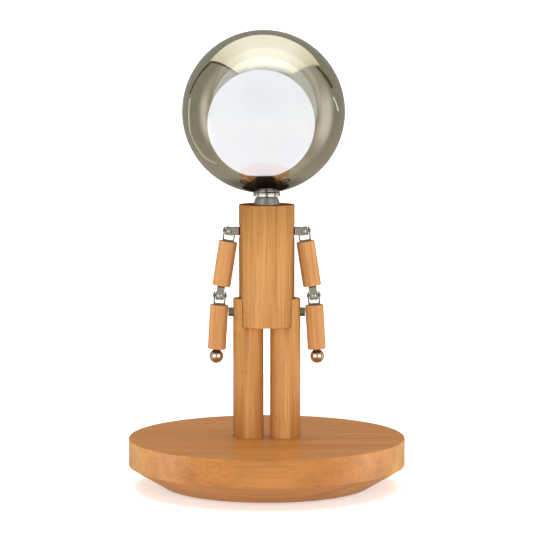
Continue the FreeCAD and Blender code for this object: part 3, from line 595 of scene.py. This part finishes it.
# %% Ring of pieces
def ring_tree():
    """Node tree with named inputs: count, radius, first angle, piece and finish."""
    tree = bpy.data.node_groups.new("ring_of_pieces", "GeometryNodeTree")
    for name, kind in (("Count", "Int"), ("Radius", "Float"), ("First Angle", "Float"),
                       ("Piece", "Object"), ("Finish", "Material")):
        tree.interface.new_socket(name, in_out="INPUT", socket_type="NodeSocket" + kind)
    tree.interface.new_socket("Geometry", in_out="OUTPUT", socket_type="NodeSocketGeometry")
    given = tree.nodes.new("NodeGroupInput")
    result = tree.nodes.new("NodeGroupOutput")
    circle = tree.nodes.new("GeometryNodeMeshCircle")
    turned = tree.nodes.new("GeometryNodeTransform")
    first = tree.nodes.new("ShaderNodeCombineXYZ")
    spot = tree.nodes.new("GeometryNodeInputPosition")
    parts = tree.nodes.new("ShaderNodeSeparateXYZ")
    bearing = tree.nodes.new("ShaderNodeMath")
    bearing.operation = "ARCTAN2"
    facing = tree.nodes.new("ShaderNodeCombineXYZ")
    source = tree.nodes.new("GeometryNodeObjectInfo")
    copies = tree.nodes.new("GeometryNodeInstanceOnPoints")
    solid = tree.nodes.new("GeometryNodeRealizeInstances")
    painted = tree.nodes.new("GeometryNodeSetMaterial")
    link = tree.links.new
    link(given.outputs["Count"], circle.inputs["Vertices"])
    link(given.outputs["Radius"], circle.inputs["Radius"])
    link(given.outputs["First Angle"], first.inputs["Z"])
    link(circle.outputs["Mesh"], turned.inputs["Geometry"])
    link(first.outputs[0], turned.inputs["Rotation"])
    link(spot.outputs[0], parts.inputs[0])
    link(parts.outputs["Y"], bearing.inputs[0])
    link(parts.outputs["X"], bearing.inputs[1])
    link(bearing.outputs[0], facing.inputs["Z"])
    link(given.outputs["Piece"], source.inputs["Object"])
    link(turned.outputs["Geometry"], copies.inputs["Points"])
    link(source.outputs["Geometry"], copies.inputs["Instance"])
    link(facing.outputs[0], copies.inputs["Rotation"])
    link(copies.outputs[0], solid.inputs[0])
    link(solid.outputs[0], painted.inputs["Geometry"])
    link(given.outputs["Finish"], painted.inputs["Material"])
    link(painted.outputs["Geometry"], result.inputs[0])
    return tree


RING_TREE = ring_tree()


def ring_of(name, piece, count, radius, first_angle, material):
    """Mesh object with copies of a piece in a ring; the piece itself is used up."""
    holder = bpy.data.objects.new(name, bpy.data.meshes.new(name + "_points"))
    bpy.context.scene.collection.objects.link(holder)
    modifier = holder.modifiers.new("ring", "NODES")
    modifier.node_group = RING_TREE
    values = {"Count": count, "Radius": radius, "First Angle": first_angle, "Piece": piece,
              "Finish": material}
    for socket in RING_TREE.interface.items_tree:
        if socket.in_out == "INPUT":
            modifier[socket.identifier] = values[socket.name]
    bpy.context.view_layer.update()
    graph = bpy.context.evaluated_depsgraph_get()
    mesh = bpy.data.meshes.new_from_object(holder.evaluated_get(graph), depsgraph=graph)
    holder.modifiers.remove(modifier)
    holder.data = mesh
    bpy.data.objects.remove(piece)
    return holder


# %% [markdown]
# The four rubber feet are such a ring. A foot is a soft pad with a rounded edge and a small hollow in the
# middle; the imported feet's box gives the ring's radius, and the feet stand on its diagonals.

# %% Rubber feet
feet_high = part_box("rubber_feet")[1]
PAD_R = 8.0 * MM
PAD_SOLE_R = 7.2 * MM
PAD_EDGE = 0.5 * MM
HOLLOW_R = 3.0 * MM
HOLLOW_EDGE_R = 3.4 * MM
HOLLOW_DEPTH = 0.15 * MM
FIRST_FOOT = math.radians(45)
foot_ring = math.hypot(feet_high.x - PAD_R, feet_high.y - PAD_R)
hollow = [(0, HOLLOW_DEPTH), (HOLLOW_R, HOLLOW_DEPTH), (HOLLOW_EDGE_R, 0)]
edge = [(PAD_SOLE_R - PAD_EDGE * (1 - math.sin(a)), PAD_EDGE * (1 - math.cos(a)))
        for a in (math.pi / 2 * n / 6 for n in range(7))]
pad = lathe("rubber_pad", hollow + edge + [(PAD_R, feet_high.z), (0, feet_high.z)], 48)
smooth(pad, 50)
feet = ring_of("rubber_feet_ring", pad, 4, foot_ring, FIRST_FOOT, rubber)
stand_in(feet, "rubber_feet", "lamp", rubber)

# %% [markdown]
# Every imported piece that keeps its own shape gets its finish here, chosen by what it is made of.

# %% Finishes of the imported pieces
# Hip screws, cross blocks and inner forks take nickel darkened as painted shade.
finishes = {
    "hip_screw_left": dark_nickel, "hip_screw_right": dark_nickel, "neck_cone": satin,
    "hand_ball_left": warm_chrome, "hand_ball_right": warm_chrome,
    "base_cover": black_plastic, "cover_screws": plated, "cord_gland": chrome,
    "terminal_block": white_plastic, "leg_screws": plated, "hip_insert_left": brass,
    "hip_insert_right": brass, "holder_body": black_plastic, "holder_thread": brass,
    "holder_contact": brass, "inner_lead": lead_jacket, "bulb_cap": nickel,
    "bulb_insulator": black_plastic, "bulb_tip": brass, "led_post": aluminium, "led_board": white_plastic,
}
finishes.update(woods)
for side in ("_left", "_right"):
    for name in ("shoulder_yoke", "arm_low_yoke"):
        finishes[name + side] = nickel
    for name in ("shoulder_cross", "arm_top_yoke", "elbow_cross", "forearm_yoke"):
        finishes[name + side] = dark_nickel
    for name in ("shoulder_rivets", "elbow_rivets", "shoulder_screw", "upper_arm_screws",
                 "forearm_screw"):
        finishes[name + side] = plated
for name, material in finishes.items():
    nodes[name].data.materials.clear()
    nodes[name].data.materials.append(material)
print("finished packed pieces:", len(finishes))

# %% [markdown]
# Cut wood never keeps a knife edge. The torso and the legs are merged copies of the imported pieces with
# the upright edges of their laps broken by a small bevel. The bevels take a dark finish that is painted
# shade, standing for the shade in the narrow gap beside the legs.

# %% Broken edges
members = frame["record"]["behaviour"]["bodies"]
body_of_node = {node: body for body, names in members.items() for node in names}
LAP_BEVEL = 0.5 * MM
SHORTEST_LAP = 10 * MM
SMALLEST_SIDE_STEP = 4 * MM
SAME_PLACE = 0.01 * MM


def eased(node, size, chosen, edge_finish):
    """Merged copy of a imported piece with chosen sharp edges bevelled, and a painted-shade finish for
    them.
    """
    mesh = bmesh.new()
    mesh.from_mesh(nodes[node].data)
    bmesh.ops.remove_doubles(mesh, verts=mesh.verts, dist=1e-6)
    bmesh.ops.dissolve_limit(mesh, angle_limit=math.radians(0.2), verts=mesh.verts, edges=mesh.edges)
    sharp = [edge for edge in mesh.edges if len(edge.link_faces) == 2
             and edge.calc_face_angle(0) > math.radians(50) and chosen(edge)]
    made = bmesh.ops.bevel(mesh, geom=sharp, offset=size, segments=1, profile=0.5, affect="EDGES",
                           clamp_overlap=True)
    for face in mesh.faces:
        face.material_index = 0
    for face in made["faces"]:
        face.material_index = 1
    bmesh.ops.triangulate(mesh, faces=[face for face in mesh.faces if len(face.verts) > 4])
    piece = smooth(object_from(node + "_eased", mesh), 35)
    stand_in(piece, node, body_of_node[node], finishes[node])
    piece.data.materials.append(edge_finish)
    return piece


def lap_edge(edge):
    """Upright edges beside the laps of the torso and the legs."""
    first, second = (vert.co for vert in edge.verts)
    run = first - second
    upright = abs(run.x) < SAME_PLACE and abs(run.y) < SAME_PLACE and abs(run.z) > SHORTEST_LAP
    return upright and abs(first.y) > SMALLEST_SIDE_STEP


for node in ("torso", "leg_left", "leg_right"):
    eased(node, LAP_BEVEL, lap_edge, gap_shade_wood.material)

# %% [markdown]
# Two tall white cards stand left and right of the camera for the metal pieces alone. The dark gap between
# them gives round metal the dark middle line it has in the photograph. The two low lights reach the foot
# alone.

# %% Cards for the metal
METALS = (nickel, chrome, warm_chrome, satin, plated, dark_nickel)
CARD_WIDTH = 1.3
CARD_HEIGHT = 1.1
metal_pieces = bpy.data.collections.new("metal_pieces")
for piece in list(nodes.values()):
    if piece.data.materials and piece.data.materials[0] in METALS:
        metal_pieces.objects.link(piece)
for name, side, strength in (("left_card", -1, 1.7), ("right_card", 1, 1.6)):
    card = panel(name, (side * 0.78, -1.0, 0.30), (0, 0, 0.22), CARD_WIDTH, CARD_HEIGHT, strength)
    card.visible_glossy = True
    card.light_linking.receiver_collection = metal_pieces
metal_pieces.objects.link(collar)
foot_only = bpy.data.collections.new("foot_only")
foot_only.objects.link(nodes["base_disc"])
for light in foot_lights:
    light.visible_glossy = True
    light.light_linking.receiver_collection = foot_only

# %% [markdown]
# The stage is not part of the lamp. Its pieces are turned or flat sheets with an even glow. Some of them
# are there for mirrors and glass only.

# %% Stage pieces
def glowing(name, colour, glow):
    """Matt dark paint that gives light of its own."""
    return Finish(name, Base_Color=(0, 0, 0, 1), Specular_IOR_Level=0.0, Emission_Color=(*colour, 1),
                  Emission_Strength=glow).material


def stage_bowl(name, outline, colour, glow, turns=96):
    """Turned stage piece from (radius, height) points, open at both ends."""
    mesh = bmesh.new()
    rings = [circle_of_points(mesh, radius, height, turns) for radius, height in outline]
    for low, high in zip(rings, rings[1:]):
        for n in range(turns):
            m = (n + 1) % turns
            mesh.faces.new((low[n], low[m], high[m], high[n]))
    piece = object_from(name, mesh)
    piece.data.shade_smooth()
    paper = Finish(name + "_paper", Roughness=0.9, Specular_IOR_Level=0.1, Base_Color=(*colour, 1),
                   Emission_Color=(*colour, 1), Emission_Strength=glow)
    piece.data.materials.append(paper.material)
    return piece


def hidden_from(piece, *rays):
    """Keep a stage piece out of some kinds of light."""
    for ray in rays:
        setattr(piece, "visible_" + ray, False)


# %% [markdown]
# What the globe mirrors is laid out on purpose. A card in the place of the roof panel gives the bright
# cap; it is brightest in front and has a narrow dark gap near its left end. Thin strips give the lines
# and the soft haze beside the opal ball, and their place is named as it shows in the globe: the angle
# from the camera, the angle round it, and the width, all in degrees. A dark sleeve round the torso, seen
# only in glass and metal, paints the shaded torso into the globe as the dark neck.

# %% Cards that mirrors and glass see
STRIP_DISTANCE = 0.9
STRIP_STEPS = 12
STRIP_COLOUR = (1.0, 0.97, 0.90)
CARD_GLOW = 2.05
CARD_WHITE = (1.0, 0.985, 0.94)
CARD_CREAM = (0.74, 0.70, 0.60)
SLEEVE_GAP = 1 * MM
SLEEVE_LID = 0.2 * MM
SLEEVE_HOLE = 11 * MM


def mirror_card():
    """Card in the place of the roof panel, brightest in front."""
    half = Vector((ROOF_WIDTH / 2, 0, 0))
    run = roof_slope * roof_depth / 2
    corners = [roof_middle - half - run, roof_middle + half - run,
               roof_middle + half + run, roof_middle - half + run]
    mesh = bmesh.new()
    face = mesh.faces.new([mesh.verts.new(corner) for corner in corners])
    layer = mesh.loops.layers.uv.new("UVMap")
    for loop, place in zip(face.loops, ((0, 0), (1, 0), (1, 1), (0, 1))):
        loop[layer].uv = place
    card = object_from("mirror_card", mesh)
    shine = Finish("mirror_card_shine", Base_Color=(0, 0, 0, 1), Specular_IOR_Level=0.0)
    place = shine.add("SeparateXYZ", Vector=shine.add("TexCoord").outputs["UV"])
    depth = shine.ramp(place.outputs["Y"], (0.0, (0.05, 0.05, 0.05)), (0.24, CARD_WHITE),
                       (0.55, CARD_WHITE), (1.0, (0.84, 0.81, 0.71)))
    sides = shine.ramp(place.outputs["X"], (0.034, (0.02, 0.02, 0.02)), (0.040, CARD_CREAM),
                       (0.36, FULL), (0.68, FULL), (0.96, CARD_CREAM), (1.0, (0.45, 0.43, 0.37)))
    shine.feed(shine.shader, {"Emission Color": shine.mix(1.0, depth, sides, "MULTIPLY"),
                              "Emission Strength": CARD_GLOW})
    card.data.materials.append(shine.material)
    hidden_from(card, "camera", "diffuse", "shadow")


def strip_point(away, around):
    """Place of a strip's edge as seen from the globe."""
    back = math.radians(away)
    turn = math.radians(around)
    way = Vector((math.sin(back) * math.cos(turn), -math.cos(back), math.sin(back) * math.sin(turn)))
    return globe_middle + STRIP_DISTANCE * way


def mirror_strip(name, path, glow):
    """Strip of card along a path of (angle from the camera, angle round it, width)."""
    mesh = bmesh.new()
    pairs = []
    for start, end in zip(path, path[1:]):
        for n in range(STRIP_STEPS + 1):
            away, around, width = (a + (b - a) * n / STRIP_STEPS for a, b in zip(start, end))
            pairs.append([mesh.verts.new(strip_point(away + side * width, around))
                          for side in (-0.5, 0.5)])
    for low, high in zip(pairs, pairs[1:]):
        mesh.faces.new((low[0], low[1], high[1], high[0]))
    strip = object_from(name, mesh)
    strip.data.materials.append(glowing(name + "_shine", STRIP_COLOUR, glow))
    hidden_from(strip, "camera", "diffuse", "shadow")


def mirror_flag():
    """Dark sleeve and lid just outside the torso, a painted reflection of the shaded torso, so the globe is
    dark above the neck.
    """
    low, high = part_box("torso")
    radius = high.x + SLEEVE_GAP
    top = high.z + SLEEVE_LID
    outline = [(radius, low.z), (radius, top), (SLEEVE_HOLE, top)]
    sleeve = stage_bowl("mirror_flag", outline, (0.02, 0.012, 0.008), 1.0)
    hidden_from(sleeve, "camera", "diffuse", "shadow")


mirror_card()
mirror_strip("left_line", [(127.5, 171, 2.5), (128.5, 187, 2.5), (133, 198, 3.0)], 1.5)
mirror_strip("left_haze", [(133, 198, 4.0), (127, 218, 9.0), (113, 228, 5.0)], 0.75)
mirror_strip("right_line", [(117, 11, 3.0), (128, -1, 3.0)], 1.7)
mirror_strip("left_shade", [(121, 139, 6.0), (132, 168, 5.0)], 0.01)
mirror_strip("right_shade", [(113, 40, 5.0), (118, 27, 9.0), (121, 18, 7.0)], 0.01)
mirror_flag()
print("cards and strips done")

# %% [markdown]
# The lamp stands on a round pale table. Behind it, all the way round, a white bowl closes the picture; it
# is only for the eye, so that the metal still mirrors the dim room and not a white wall.

# %% Table and white bowl
TABLE_R = 0.62
TABLE_COLOUR = (0.90, 0.92, 0.93)
TABLE_GLOW = 0.52
BOWL_LOW = -0.0005
BOWL_R = 5.0
BOWL_BEND = 1.2
BOWL_HEIGHT = 5.0
BOWL_STEPS = 12
table = stage_bowl("table_top", [(0.001, 0.0), (0.4, 0.0), (TABLE_R, 0.0)], TABLE_COLOUR, TABLE_GLOW)
hidden_from(table, "glossy", "transmission")
bend = [(BOWL_R + BOWL_BEND * math.sin(a), BOWL_BEND - BOWL_BEND * math.cos(a))
        for a in (math.pi / 2 * n / BOWL_STEPS for n in range(BOWL_STEPS + 1))]
outline = [(TABLE_R - 0.01, BOWL_LOW), (BOWL_R, BOWL_LOW)] + bend + [(BOWL_R + BOWL_BEND, BOWL_HEIGHT)]
bowl = stage_bowl("white_bowl", outline, (1.0, 1.0, 1.0), 1.0)
hidden_from(bowl, "glossy", "transmission", "diffuse", "shadow")
print("table", TABLE_R, "m in radius")
